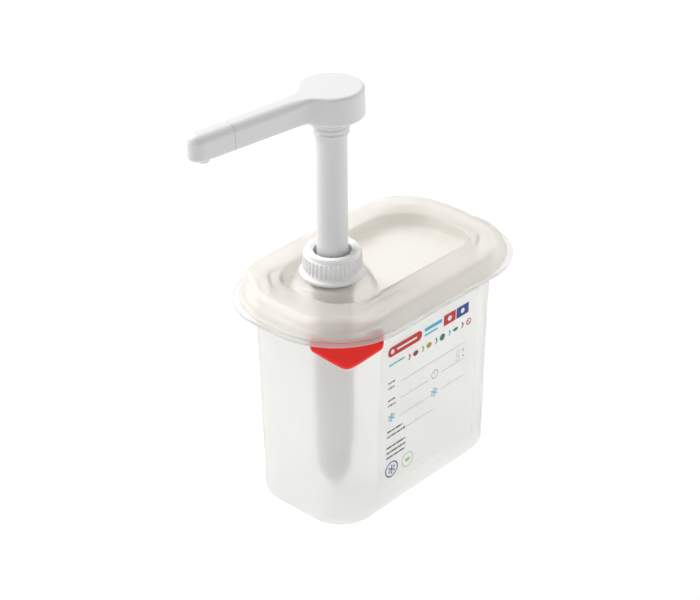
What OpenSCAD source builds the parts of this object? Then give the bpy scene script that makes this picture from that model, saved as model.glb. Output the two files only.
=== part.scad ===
// Sauce pump dispenser: a gastronorm 1/9 tub with a lift-off lid, a plunger pump screwed on the
// lid's raised boss, and a colour clip under one corner of the rim. Millimetres, +Z up.
// The origin is on the tub's underside, at the middle of its footprint. The pump stands over -X.

/* [Container] */
// Length of the rim, along X
rim_l = 176; // [160:1:190]
// Width of the rim, along Y
rim_w = 108; // [100:1:116]
// Corner radius of the rim
rim_r = 41; // [36:1:46]
// Height of the rim's upper face
rim_top = 134.2; // [128:0.1:138]
// Thickness of the rim flange
rim_t = 3.2; // [2:0.1:4]
// Length of the tub's base
base_l = 142.4; // [136:0.2:144]
// Width of the tub's base
base_w = 76.8; // [72:0.2:78]
// Corner radius at the base
base_r = 23.4; // [18:0.2:26]
// Outward draft of each wall from the base to the rim
draft = 2.4; // [1:0.1:4]
// Wall thickness of the tub
wall = 1.7; // [1.2:0.1:2.2]

/* [Lid] */
// Corner radius of the lid's outer edge
lid_r = 48; // [44:1:52]
// Height of the lid's flat crown above its edge
crown_h = 11; // [10:0.1:12]
// Wall thickness of the lid
lid_wall = 1.5; // [1:0.1:2]
// Radius at the foot of the raised boss that carries the pump
boss_r = 26.5; // [25.5:0.1:27]
// Height of the boss's flat top
boss_top = 147; // [146.5:0.1:148]

/* [Pump] */
// Distance of the pump's axis from the middle of the tub
pump_x = -36.6; // [-38:0.1:-35]
// Outer radius of the stem
stem_r = 9.05; // [8.5:0.05:9.1]
// Outer radius of the pump barrel
barrel_r = 12; // [11.8:0.1:12.2]
// Outer radius of the cap's skirt
cap_r = 19; // [18.5:0.1:20]
// Radius of the pump head
head_r = 19.2; // [18:0.1:20]
// Height of the head's lower face with the pump up
head_bottom = 248; // [247:0.1:249]
// Height of the head's upper face with the pump up
head_top = 264.8; // [264:0.1:266]
// Distance from the pump's axis to the end of the nozzle
nozzle_l = 96.8; // [90:0.1:105]
// Heading of the nozzle about the pump's axis, from -X towards +Y
nozzle_heading = -6; // [-30:1:30]
// Length of the pump stroke
stroke = 80; // [70:1:80]

/* [Hidden] */

eps = 0.01;
fine = 96;
hull_fn = 32;

// Tub
rim_under = rim_top - rim_t;
foot_round = 2.6;
floor_t = 2.2;
corner_x = base_l / 2 - base_r;
corner_y = base_w / 2 - base_r;
draft_angle = atan(draft / rim_under);
bead_l = 153;
bead_w = 88;
bead_r = 34;
bead_h = 4.2;
bead_t = 1.8;

// Label film on the -Y wall
film_x0 = -41;
film_x1 = 46;
film_z0 = 15;
film_z1 = 124;
film_t = 0.25;

// Colour clip under the -X -Y corner of the rim
clip_gap = 0.3;
clip_apex_z = 112.6;
clip_seat_t = 0.3;
clip_seat_w = 54;
clip_seat_l = 70;
clip_seat_gap = 0.05;
clip_lug_z = 124.5;
clip_lug_t = 1.6;
clip_lug_r = 28;

// Lid
lid_gap = 0.05;
lid_edge = rim_top + lid_gap;
lid_half_l = rim_l / 2 - 0.4;
lid_half_w = rim_w / 2 - 0.4;
lid_top = lid_edge + crown_h;
pocket_floor = 137.4;
pocket_x = -1.8;
pocket_half_l = 59.5;
pocket_half_w = 30.2;
pocket_slope = 1.5;
pocket_r = 20;
plug_half_l = 66;
plug_half_w = 35;
plug_r = 20;
plug_t = 1.4;
plug_z = rim_under - 6;

// Neck, barrel and cap stack, from the boss upwards
neck_top = 158.5;
neck_in_r = 13.1;
neck_out_r = 14.3;
neck_crest_r = 14.85;
thread_pitch = 3;
gasket_t = 1.2;
barrel_flange_t = 1.6;
collar_flange_t = 1.3;
washer_t = 0.6;
washer_gap = 0.05;
flange_r = 14.6;
barrel_flange_z = neck_top + gasket_t;
collar_flange_z = barrel_flange_z + barrel_flange_t;
washer_z = collar_flange_z + collar_flange_t + washer_gap;
cap_plate_z = washer_z + washer_t + washer_gap;
cap_top = 164.9;
cap_bottom = boss_top + 2.2;
cap_in_r = 15.2;
cap_crest_r = 15;
cap_hole_r = 11.1;
cap_ribs = 40;

// Barrel and collar
bell_z = 141;
bell_r = 13;
bell_in_r = 12.25;
bore_r = 10.4;
barrel_floor = 33;
spigot_r = 7.5;
spigot_in_r = 5.6;
spigot_z = 20;
collar_r = 12.2;
collar_z = 144;
collar_bore_r = 11.25;
lock_nut_r = 10.9;
web_z = 147;
web_t = 4;
run_gap = 0.06;

// Foot valve
foot_r = 10;
foot_floor_z = 12;
foot_seat_z = 16;
foot_seat_r = 3.2;
foot_ball_r = 4.2;
foot_ball_z = foot_seat_z + sqrt(pow(foot_ball_r, 2) - pow(foot_seat_r, 2)) + 0.02;
oring_z = 18.5;
tail_r = 4.6;
tail_in_r = 3;
tail_z = 5;

// Plunger
piston_z = 131.6;
piston_top = 143.2;
piston_r = 9.9;
seal_z = 135;
seal_t = 4;
seal_root_r = 8.6;
seal_r = bore_r - 0.04;
pin_r = 6.45;
pin_z = 134.3;
outlet_seat_z = 134;
outlet_seat_r = 2.6;
outlet_ball_r = 3.4;
outlet_ball_z = outlet_seat_z + sqrt(pow(outlet_ball_r, 2) - pow(outlet_seat_r, 2)) + 0.02;
stem_bore_r = 5.5;
stem_top = 252;
follower_t = 2;
follower_z = piston_z - 0.05 - follower_t;
spring_r = 9;
spring_wire_r = 0.8;
spring_turns = 10;
spring_steps = 14;

// Head and nozzle
lock_z = 235;
lock_r = 9.7;
lock_crest_r = 10.7;
lock_pitch = 2.9;
arm_top = 265.4;
arm_bottom = 250.4;
arm_half_w = 6.6;
tip_joint = 71;
tip_half_w = 6;
spout_x = 88;
spout_r = 3.7;
spout_in_r = 2.4;
spout_bottom = 248.3;
channel_z = 256;
channel_r = 3;

// A rounded rectangle with half sizes a and b and corner radius r
module round_rect(a, b, r) {
  square([2 * a, 2 * (b - r)], center = true);
  square([2 * (a - r), 2 * b], center = true);
  for (sx = [-1, 1], sy = [-1, 1])
    translate([sx * (a - r), sy * (b - r)]) circle(r = r, $fn = fine);
}

// A flat slab of the rounded rectangle at height z
module slab(a, b, r, z, t) {
  translate([0, 0, z]) linear_extrude(t) round_rect(a, b, r);
}

// The same slab with coarse corners, for use as a hull's child
module hull_slab(a, b, r, z) {
  translate([0, 0, z]) linear_extrude(eps)
    for (sx = [-1, 1], sy = [-1, 1])
      translate([sx * (a - r), sy * (b - r)]) circle(r = r, $fn = hull_fn);
}

module ring(r_out, r_in, z, t) {
  translate([pump_x, 0, z]) rotate_extrude($fn = fine)
    translate([r_in, 0]) square([r_out - r_in, t]);
}

module on_axis() {
  translate([pump_x, 0, 0]) children();
}

// The tub's tapered shape, moved inwards by d, from height z0 to z1
module tub_form(d, z0, z1, round_r) {
  a = base_l / 2 - d;
  b = base_w / 2 - d;
  r = base_r - d;
  k = draft / rim_under;
  hull() {
    hull_slab(a - round_r, b - round_r, r - round_r, z0);
    hull_slab(a - 0.3 * round_r, b - 0.3 * round_r, r - 0.3 * round_r, z0 + 0.3 * round_r);
    hull_slab(a + k * (z0 + round_r), b + k * (z0 + round_r), r + k * (z0 + round_r), z0 + round_r);
    hull_slab(a + k * z1, b + k * z1, r + k * z1, z1 - eps);
  }
}

// The rim's outline. The corner with the clip is rounded as far back as the lid
module rim_outline() {
  difference() {
    round_rect(rim_l / 2, rim_w / 2, rim_r);
    translate([-rim_l / 2 + lid_r, -rim_w / 2 + lid_r]) difference() {
      translate([-lid_r - 1, -lid_r - 1]) square(lid_r + 1);
      circle(r = lid_r, $fn = fine);
    }
  }
}

module container() {
  color([0.93, 0.94, 0.93, 0.5]) difference() {
    union() {
      tub_form(0, 0, rim_top, foot_round);
      translate([0, 0, rim_under]) linear_extrude(rim_t) rim_outline();
      slab(bead_l / 2, bead_w / 2, bead_r, rim_top - eps, bead_h);
      clip_lug();
    }
    tub_form(wall, floor_t, rim_top + 1, foot_round - wall);
    slab(bead_l / 2 - bead_t, bead_w / 2 - bead_t, bead_r - bead_t, rim_top, bead_h + 1);
    clip_seat();
  }
}

// The shallow recess in the rim's underside that the clip's top edge lies in
module clip_seat() {
  grow = draft + clip_seat_gap;
  translate([0, 0, rim_under - eps]) linear_extrude(clip_seat_t) difference() {
    translate([-corner_x, -corner_y]) rotate(225) translate([0, -clip_seat_w / 2])
      square([clip_seat_l, clip_seat_w]);
    round_rect(base_l / 2 + grow, base_w / 2 + grow, base_r + grow);
  }
}

// A short rib on the corner that the clip slides on to
module clip_lug() {
  translate([-corner_x, -corner_y, clip_lug_z]) rotate([0, 0, 210]) rotate_extrude(angle = 30, $fn = fine)
    translate([base_r + 1, 0]) square([clip_lug_r - base_r - 1, clip_lug_t]);
}

module label_film() {
  color([0.97, 0.97, 0.97]) translate([0, -base_w / 2, 0]) rotate([draft_angle, 0, 0])
    translate([film_x0, -film_t - 0.03, film_z0])
      cube([film_x1 - film_x0, film_t, film_z1 - film_z0]);
}

module corner_clip() {
  top_z = rim_under - clip_gap;
  color([0.85, 0.06, 0.05]) difference() {
    hull() {
      for (p = [[-78.8, -24], [-51, -51.8]])
        translate([p[0], p[1], top_z - 5]) cylinder(r = 1.6, h = 5, $fn = hull_fn);
      for (p = [[-73.5, -16.5], [-46, -44]])
        translate([p[0], p[1], top_z - 8]) cylinder(r = 1.5, h = 8, $fn = hull_fn);
      translate([-66.6, -39.6, clip_apex_z + 2.4]) sphere(r = 2.4, $fn = hull_fn);
      translate([-64.6, -37.6, clip_apex_z]) cylinder(r = 1.5, h = 2, $fn = hull_fn);
    }
    translate([-corner_x, -corner_y, 0]) cylinder(r = base_r + draft + clip_gap, h = rim_top, $fn = fine);
    translate([-corner_x, -base_w / 2 - draft - clip_gap, 0]) cube([20, 30, rim_top]);
    translate([-base_l / 2 - draft - clip_gap, -corner_y, 0]) cube([30, 20, rim_top]);
    translate([-corner_x, -corner_y, clip_lug_z - clip_gap]) rotate([0, 0, 204])
      rotate_extrude(angle = 42, $fn = fine)
        translate([base_r, 0]) square([clip_lug_r - base_r + clip_gap, clip_lug_t + 2 * clip_gap]);
  }
}

// The lid's rounded crown, moved inwards by d
module crown(d) {
  a = lid_half_l - d;
  b = lid_half_w - d;
  r = lid_r - d;
  hull() {
    hull_slab(a, b, r, lid_edge);
    hull_slab(a, b, r, lid_edge + 1.2);
    hull_slab(a - 3.2, b - 2.1, r - 6, lid_edge + 0.42 * crown_h - 0.5 * d);
    hull_slab(a - 6.6, b - 4, r - 11, lid_edge + 0.69 * crown_h - 0.7 * d);
    hull_slab(a - 10.6, b - 6, r - 16, lid_edge + 0.91 * crown_h - 0.9 * d);
    hull_slab(a - 13.4, b - 7, r - 20.5, lid_edge + crown_h - d);
  }
}

// The recess inside the crown, grown outwards by g
module pocket(g) {
  translate([pocket_x, 0, 0]) hull() {
    hull_slab(pocket_half_l - pocket_slope + g, pocket_half_w - pocket_slope + g,
              pocket_r - pocket_slope, pocket_floor - g);
    hull_slab(pocket_half_l + g, pocket_half_w + g, pocket_r, lid_top - 0.8 - g);
    hull_slab(pocket_half_l + 1.5 + g, pocket_half_w + 1.5 + g, pocket_r + 1.5, lid_top + 1);
  }
}

// The solid of revolution of the boss, moved inwards by d
module boss_form(d, z0) {
  on_axis() rotate_extrude($fn = fine) polygon([
    [0, z0], [boss_r - d, z0], [boss_r - d, pocket_floor + 1], [boss_r - 3.4 - d, boss_top - 1 - d],
    [boss_r - 4.6 - d, boss_top - d], [0, boss_top - d]]);
}

module lid() {
  color([0.95, 0.94, 0.90, 0.7]) difference() {
    union() {
      difference() {
        crown(0);
        difference() {
          pocket(0);
          boss_form(0, pocket_floor - 5);
        }
        difference() {
          crown(lid_wall);
          pocket(lid_wall);
          boss_form(0, pocket_floor - 5);
        }
        translate([0, 0, lid_edge - 1]) linear_extrude(1 + lid_wall)
          round_rect(lid_half_l - lid_wall, lid_half_w - lid_wall, lid_r - lid_wall);
      }
      boss_form(0, pocket_floor - lid_wall);
      on_axis() cylinder(r = neck_out_r, h = neck_top, $fn = fine);
      for (z = [boss_top + 3 : thread_pitch : neck_top - 1])
        ring(neck_crest_r, neck_out_r - 0.5, z, 1);
      difference() {
        slab(plug_half_l, plug_half_w, plug_r, plug_z, lid_top - lid_wall / 2 - plug_z);
        slab(plug_half_l - plug_t, plug_half_w - plug_t, plug_r - plug_t, plug_z - 1, lid_top - plug_z);
      }
    }
    boss_form(lid_wall, 0);
    on_axis() cylinder(r = neck_in_r, h = neck_top + 1, $fn = fine);
  }
}

module barrel_gasket() {
  color("dimgray") ring(flange_r - 0.3, neck_in_r + 0.1, neck_top, gasket_t);
}

module barrel() {
  color("whitesmoke") on_axis() rotate_extrude($fn = fine) polygon([
    [spigot_in_r, spigot_z], [spigot_r, spigot_z], [spigot_r, barrel_floor - 4],
    [barrel_r, barrel_floor - 2], [barrel_r, bell_z - 3], [bell_r, bell_z],
    [bell_r, barrel_flange_z], [flange_r, barrel_flange_z], [flange_r, collar_flange_z],
    [bell_in_r, collar_flange_z], [bell_in_r, bell_z + 2.4], [bore_r, bell_z + 0.4],
    [bore_r, barrel_floor], [spigot_in_r, barrel_floor]]);
}

module collar() {
  color("white") union() {
    ring(flange_r - 0.2, collar_bore_r, collar_flange_z, collar_flange_t);
    ring(collar_r, collar_bore_r, collar_z, collar_flange_z - collar_z + eps);
    ring(collar_r - 0.3, stem_r + run_gap, web_z, web_t);
    ring(collar_r - 0.3, 10.6, collar_z, web_z - collar_z + eps);
    for (z = [web_z + web_t + 1 : lock_pitch : collar_flange_z - 1])
      ring(collar_bore_r + 0.5, lock_nut_r, z, 0.9);
  }
}

module stem_wiper() {
  color("silver") ring(10.58, stem_r + 0.05, collar_z + 0.2, web_z - collar_z - 0.25);
}

module foot_valve() {
  color("white") on_axis() rotate_extrude($fn = fine) polygon([
    [foot_seat_r, foot_floor_z], [tail_r + 0.02, foot_floor_z], [tail_r + 0.02, 8], [6.4, 8],
    [6.4, foot_floor_z - 0.5], [foot_r, foot_floor_z + 2], [foot_r, barrel_floor - 5],
    [spigot_r + 0.02, barrel_floor - 5], [spigot_r + 0.02, oring_z], [spigot_in_r, oring_z],
    [spigot_in_r, foot_seat_z + 0.8], [foot_seat_r + 1.2, foot_seat_z], [foot_seat_r, foot_seat_z]]);
}

module foot_oring() {
  color("dimgray") on_axis() translate([0, 0, (oring_z + spigot_z) / 2]) rotate_extrude($fn = fine)
    translate([(spigot_r + spigot_in_r) / 2 + 0.1, 0]) circle(r = 0.72, $fn = hull_fn);
}

module ball_cage() {
  color("white") difference() {
    union() {
      ring(spigot_in_r - 0.02, 4.7, 21, 8);
      on_axis() translate([0, 0, 27]) cylinder(r = spigot_in_r - 0.02, h = 2, $fn = fine);
    }
    for (a = [0 : 90 : 270])
      on_axis() rotate([0, 0, a]) translate([2.9, 0, 26]) cylinder(r = 1.3, h = 4, $fn = fine);
  }
}

module inlet_ball() {
  color("lightgray") on_axis() translate([0, 0, foot_ball_z]) sphere(r = foot_ball_r, $fn = fine);
}

module dip_tube() {
  color("white") difference() {
    ring(tail_r, tail_in_r, tail_z, foot_floor_z - tail_z - 0.02);
    for (a = [0, 90])
      on_axis() translate([0, 0, tail_z]) rotate([0, 0, a])
        cube([2 * tail_r + 1, 2.4, 3.6], center = true);
  }
}

// Points of one ring of the spring wire, at angle a round the helix
function wire_ring(a, z) = [for (k = [0 : 5])
  [(spring_r + spring_wire_r * cos(60 * k)) * cos(a), (spring_r + spring_wire_r * cos(60 * k)) * sin(a),
   z + spring_wire_r * sin(60 * k)]];

module pump_spring() {
  low = barrel_floor + spring_wire_r + 0.02;
  high = follower_z - spring_wire_r - 0.02;
  n = spring_turns * spring_steps;
  // The first and last turns lie flat, and the turns between share the height
  rise = [for (i = [0 : n]) let (t = i / spring_steps)
    t < 1 ? t * 2 * spring_wire_r
    : t > spring_turns - 1 ? high - low - (spring_turns - t) * 2 * spring_wire_r
    : 2 * spring_wire_r + (t - 1) / (spring_turns - 2) * (high - low - 4 * spring_wire_r)];
  points = [for (i = [0 : n]) each wire_ring(360 * i / spring_steps, low + rise[i])];
  sides = [for (i = [0 : n - 1], k = [0 : 5])
    [6 * i + k, 6 * (i + 1) + k, 6 * (i + 1) + (k + 1) % 6, 6 * i + (k + 1) % 6]];
  first = [[for (k = [0 : 5]) k]];
  last = [[for (k = [5 : -1 : 0]) 6 * n + k]];
  color("silver") on_axis() polyhedron(points = points, faces = concat(first, sides, last), convexity = 10);
}

module spring_follower() {
  color("white") ring(bore_r - 0.4, 5, follower_z, follower_t);
}

module screw_cap() {
  color("white") union() {
    difference() {
      on_axis() rotate_extrude($fn = fine) polygon([
        [0, cap_bottom], [cap_r - 0.4, cap_bottom], [cap_r, cap_bottom + 0.4], [cap_r, cap_bottom + 1.4],
        [cap_r - 0.7, cap_bottom + 2.2], [cap_r - 1.9, cap_bottom + 4.6], [cap_r - 2.4, cap_bottom + 7],
        [cap_r - 2.6, cap_bottom + 12.4], [cap_r - 2.8, cap_bottom + 13], [cap_r - 2.8, cap_top - 1.4],
        [cap_r - 3.2, cap_top - 0.4], [cap_r - 4.2, cap_top], [0, cap_top]]);
      on_axis() translate([0, 0, cap_bottom - 1])
        cylinder(r = cap_in_r, h = cap_plate_z - cap_bottom + 1, $fn = fine);
      on_axis() cylinder(r = cap_hole_r, h = cap_top + 1, $fn = fine);
    }
    for (z = [cap_bottom + 4.2 : thread_pitch : neck_top - 1])
      ring(cap_in_r + 0.4, cap_crest_r, z, 0.9);
    for (i = [0 : cap_ribs - 1])
      on_axis() rotate([0, 0, i * 360 / cap_ribs]) translate([cap_r - 2.7, -0.5, cap_bottom + 3])
        cube([0.75, 1, 9.6]);
  }
}

module cap_washer() {
  color("gainsboro") ring(flange_r - 0.4, cap_hole_r + 0.4, washer_z, washer_t);
}

module piston() {
  color("whitesmoke") on_axis() difference() {
    rotate_extrude($fn = fine) polygon([
      [0, piston_z], [piston_r - 0.6, piston_z], [piston_r, piston_z + 0.6], [piston_r, seal_z],
      [seal_root_r, seal_z], [seal_root_r, seal_z + seal_t], [piston_r, seal_z + seal_t],
      [piston_r, piston_top - 0.6], [piston_r - 0.6, piston_top], [0, piston_top]]);
    translate([0, 0, outlet_seat_z]) cylinder(r = pin_r + 0.02, h = piston_top, $fn = fine);
    translate([0, 0, piston_z - 1]) cylinder(r = outlet_seat_r, h = 5, $fn = fine);
  }
}

module piston_seal() {
  color("silver") ring(seal_r, seal_root_r + 0.02, seal_z + 0.05, seal_t - 0.1);
}

module outlet_ball() {
  color("lightgray") on_axis() translate([0, 0, outlet_ball_z]) sphere(r = outlet_ball_r, $fn = fine);
}

module stem() {
  color("white") on_axis() difference() {
    union() {
      translate([0, 0, pin_z]) cylinder(r = pin_r, h = piston_top - pin_z + 1, $fn = fine);
      translate([0, 0, piston_top + 0.05]) cylinder(r = stem_r, h = stem_top - piston_top - 0.05, $fn = fine);
    }
    translate([0, 0, pin_z - 1]) cylinder(r = 4.3, h = 9, $fn = fine);
    translate([0, 0, pin_z + 9.8]) cylinder(r = stem_bore_r, h = stem_top, $fn = fine);
    for (a = [0 : 90 : 270])
      rotate([0, 0, a]) translate([2.4, 0, pin_z + 7]) cylinder(r = 1.2, h = 4, $fn = fine);
  }
}

// Places its children on the pump's axis, turned so that -X is the nozzle's heading
module along_nozzle() {
  translate([pump_x, 0, 0]) rotate([0, 0, nozzle_heading]) children();
}

// One cross-section of the arm: an upright slab with a rounded top, at distance x
module arm_section(x, half_w, low, high) {
  translate([-x, 0, 0]) {
    translate([0, 0, high - half_w]) rotate([0, 90, 0])
      cylinder(r = half_w, h = eps, center = true, $fn = hull_fn);
    for (s = [-1, 1])
      translate([0, s * (half_w - 1.6), low + 1.6]) rotate([0, 90, 0])
        cylinder(r = 1.6, h = eps, center = true, $fn = hull_fn);
  }
}

module head() {
  color("white") along_nozzle() difference() {
    union() {
      rotate_extrude($fn = fine) polygon([
        [0, head_bottom], [head_r - 1.2, head_bottom], [head_r, head_bottom + 1.2],
        [head_r - 0.5, head_top - 2.2], [head_r - 1.1, head_top - 0.9], [head_r - 2.4, head_top - 0.2],
        [head_r - 4, head_top], [0, head_top]]);
      hull() {
        arm_section(head_r - 5, arm_half_w + 2, arm_bottom - 0.4, arm_top - 1);
        arm_section(head_r + 6, arm_half_w, arm_bottom, arm_top);
      }
      hull() {
        arm_section(head_r + 6, arm_half_w, arm_bottom, arm_top);
        arm_section(tip_joint, tip_half_w + 0.2, arm_bottom + 0.3, arm_top - 0.3);
      }
      translate([0, 0, lock_z + 3]) cylinder(r = lock_r, h = head_bottom - lock_z - 2, $fn = fine);
      rotate_extrude($fn = fine)
        polygon([[0, lock_z], [stem_r + 0.4, lock_z], [lock_r, lock_z + 3.1], [0, lock_z + 3.1]]);
      for (z = [lock_z + 3.6 : lock_pitch : head_bottom - 1])
        translate([0, 0, z]) rotate_extrude($fn = fine)
          polygon([[lock_r - 0.6, -0.2], [lock_r, 0], [lock_crest_r, 0.8], [lock_crest_r, 1.3],
                   [lock_r, 2], [lock_r - 0.6, 2]]);
    }
    translate([0, 0, lock_z - 1]) cylinder(r = stem_r, h = stem_top - lock_z + 1, $fn = fine);
    translate([0, 0, stem_top - 1]) cylinder(r = stem_bore_r, h = 8, $fn = fine);
    translate([0, 0, channel_z]) rotate([0, -90, 0]) cylinder(r = channel_r, h = tip_joint + 1, $fn = fine);
  }
}

module nozzle_tip() {
  end_x = nozzle_l - tip_half_w;
  color("white") along_nozzle() difference() {
    union() {
      hull() {
        arm_section(tip_joint + 0.02, tip_half_w + 0.2, arm_bottom + 0.3, arm_top - 0.3);
        translate([-end_x, 0, arm_bottom + 0.6]) cylinder(r = tip_half_w, h = 6, $fn = hull_fn);
        translate([-end_x, 0, arm_top - 0.4 - tip_half_w]) sphere(r = tip_half_w, $fn = hull_fn);
      }
      translate([-spout_x, 0, spout_bottom]) cylinder(r = spout_r, h = 6, $fn = fine);
      translate([-tip_joint - 2, 0, channel_z]) rotate([0, 90, 0])
        cylinder(r = channel_r - 0.02, h = 6, $fn = fine);
    }
    translate([-spout_x, 0, spout_bottom - 1])
      cylinder(r = spout_in_r, h = channel_z - spout_bottom + 1, $fn = fine);
    translate([-spout_x, 0, channel_z]) rotate([0, 90, 0])
      cylinder(r = spout_in_r, h = spout_x, $fn = fine);
  }
}

container();
label_film();
corner_clip();
lid();
barrel_gasket();
barrel();
collar();
stem_wiper();
foot_valve();
foot_oring();
ball_cage();
inlet_ball();
dip_tube();
pump_spring();
spring_follower();
screw_cap();
cap_washer();
piston();
piston_seal();
outlet_ball();
stem();
head();
nozzle_tip();
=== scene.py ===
"""Looks of the sauce pump dispenser: a translucent gastronorm tub, its lid, and the plunger pump on it.

Every shape is worked out in millimetres in the part's own frame and becomes metres when its mesh is made.
"""

import logging
import math
from collections.abc import Callable
from dataclasses import dataclass, field
from enum import Enum

import bmesh
import bpy
import numpy as np
from mathutils import Matrix, Vector


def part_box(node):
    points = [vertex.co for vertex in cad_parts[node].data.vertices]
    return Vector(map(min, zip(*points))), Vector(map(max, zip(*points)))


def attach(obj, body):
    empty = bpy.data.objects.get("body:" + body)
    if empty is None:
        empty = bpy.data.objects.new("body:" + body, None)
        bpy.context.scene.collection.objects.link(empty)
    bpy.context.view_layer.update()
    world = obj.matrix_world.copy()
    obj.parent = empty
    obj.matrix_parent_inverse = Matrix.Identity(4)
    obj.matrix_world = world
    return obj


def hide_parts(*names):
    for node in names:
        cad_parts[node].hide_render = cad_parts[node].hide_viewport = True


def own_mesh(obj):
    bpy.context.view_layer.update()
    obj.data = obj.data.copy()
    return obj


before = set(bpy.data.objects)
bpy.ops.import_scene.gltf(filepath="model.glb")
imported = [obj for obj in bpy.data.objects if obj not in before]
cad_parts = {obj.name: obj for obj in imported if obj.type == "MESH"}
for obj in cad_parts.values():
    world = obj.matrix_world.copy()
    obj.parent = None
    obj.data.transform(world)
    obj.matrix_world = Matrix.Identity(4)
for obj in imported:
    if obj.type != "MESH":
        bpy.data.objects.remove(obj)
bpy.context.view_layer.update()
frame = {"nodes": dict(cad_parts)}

log = logging.getLogger("dispenser")

MM = 0.001
Point2 = tuple[float, float]
Colour = tuple[float, float, float]
Field = Callable[[np.ndarray, np.ndarray, np.ndarray], np.ndarray]
Size = np.ndarray | float


# ---------------------------------------------------------------- shader groups and finishes


class Skin(Enum):
    """The kinds of moulded surface, each with its own grain."""

    CLEAR = "clear"
    SATIN = "satin"
    POLISHED = "polished"
    RUBBER = "rubber"
    METAL = "metal"


GRAIN: dict[Skin, tuple[float, float]] = {
    Skin.CLEAR: (120.0, 0.0),
    Skin.SATIN: (900.0, 0.10),
    Skin.POLISHED: (260.0, 0.035),
    Skin.RUBBER: (2200.0, 0.20),
    Skin.METAL: (3200.0, 0.06),
}


def add_node(tree: bpy.types.NodeTree, kind: str, inputs: dict, **settings) -> bpy.types.Node:
    """Adds a node to a tree.

    Args:
        tree: The tree.
        kind: The node's type.
        inputs: Input name or number to its value, or to the output that feeds it.
        **settings: The node's own properties.

    Returns:
        The node.
    """
    node = tree.nodes.new(kind)
    for key, value in settings.items():
        setattr(node, key, value)
    for key, value in inputs.items():
        if isinstance(value, bpy.types.NodeSocket):
            tree.links.new(value, node.inputs[key])
        else:
            node.inputs[key].default_value = value
    return node


def new_group(
    name: str, inputs: dict[str, tuple[str, float | Colour]], outputs: dict[str, str]
) -> bpy.types.NodeTree:
    """Makes an empty shader node group with named sockets.

    Args:
        name: The group's name.
        inputs: Socket name to its kind and default value.
        outputs: Socket name to its kind.

    Returns:
        The node group, holding only its input and output nodes.
    """
    tree = bpy.data.node_groups.new(name, "ShaderNodeTree")
    for socket, (kind, value) in inputs.items():
        made = tree.interface.new_socket(socket, in_out="INPUT", socket_type=kind)
        made.default_value = (*value, 1.0) if isinstance(value, tuple) else value
    for socket, kind in outputs.items():
        tree.interface.new_socket(socket, in_out="OUTPUT", socket_type=kind)
    tree.nodes.new("NodeGroupInput")
    tree.nodes.new("NodeGroupOutput")
    return tree


def moulded_skin() -> bpy.types.NodeTree:
    """The shared surface of moulded plastic: faint flow mottling, handling scuffs and a fine grain.

    Returns:
        The group, with outputs Color, Roughness and Normal. It is built once and then reused.
    """
    name = "moulded_skin"
    if name in bpy.data.node_groups:
        return bpy.data.node_groups[name]
    tree = new_group(
        name,
        {
            "Color": ("NodeSocketColor", (0.8, 0.8, 0.8)),
            "Mottle": ("NodeSocketFloat", 0.03),
            "Roughness": ("NodeSocketFloat", 0.35),
            "Scuff": ("NodeSocketFloat", 0.08),
            "Grain Scale": ("NodeSocketFloat", 900.0),
            "Grain": ("NodeSocketFloat", 0.1),
        },
        {"Color": "NodeSocketColor", "Roughness": "NodeSocketFloat", "Normal": "NodeSocketVector"},
    )
    given, result = tree.nodes["Group Input"].outputs, tree.nodes["Group Output"].inputs
    place = add_node(tree, "ShaderNodeTexCoord", {}).outputs["Object"]
    # Mottling: the colour is darkened a little where the flow noise is high
    flow = add_node(tree, "ShaderNodeTexNoise", {"Vector": place, "Scale": 28.0, "Detail": 3.0})
    reach = {"Value": flow.outputs["Fac"], "From Min": 0.3, "From Max": 0.7}
    spread = add_node(tree, "ShaderNodeMapRange", reach)
    share = {0: spread.outputs["Result"], 1: given["Mottle"]}
    amount = add_node(tree, "ShaderNodeMath", share, operation="MULTIPLY")
    tones = {0: amount.outputs[0], 6: given["Color"], 7: (0.0, 0.0, 0.0, 1.0)}
    darken = add_node(tree, "ShaderNodeMix", tones, data_type="RGBA")
    # Scuffs: stretched noise lifts the roughness in streaks
    streaks = {"Vector": place, "Scale": 90.0, "Detail": 5.0, "Distortion": 0.6}
    scuff = add_node(tree, "ShaderNodeTexNoise", streaks)
    lift = {0: scuff.outputs["Fac"], 1: given["Scuff"], 2: given["Roughness"]}
    streak = add_node(tree, "ShaderNodeMath", lift, operation="MULTIPLY_ADD")
    # Grain: a shallow bump
    grain = add_node(tree, "ShaderNodeTexNoise", {"Vector": place, "Scale": given["Grain Scale"]})
    relief = {"Height": grain.outputs["Fac"], "Strength": given["Grain"], "Distance": 0.0002}
    bump = add_node(tree, "ShaderNodeBump", relief)
    tree.links.new(darken.outputs[2], result["Color"])
    tree.links.new(streak.outputs[0], result["Roughness"])
    tree.links.new(bump.outputs["Normal"], result["Normal"])
    return tree


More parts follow.
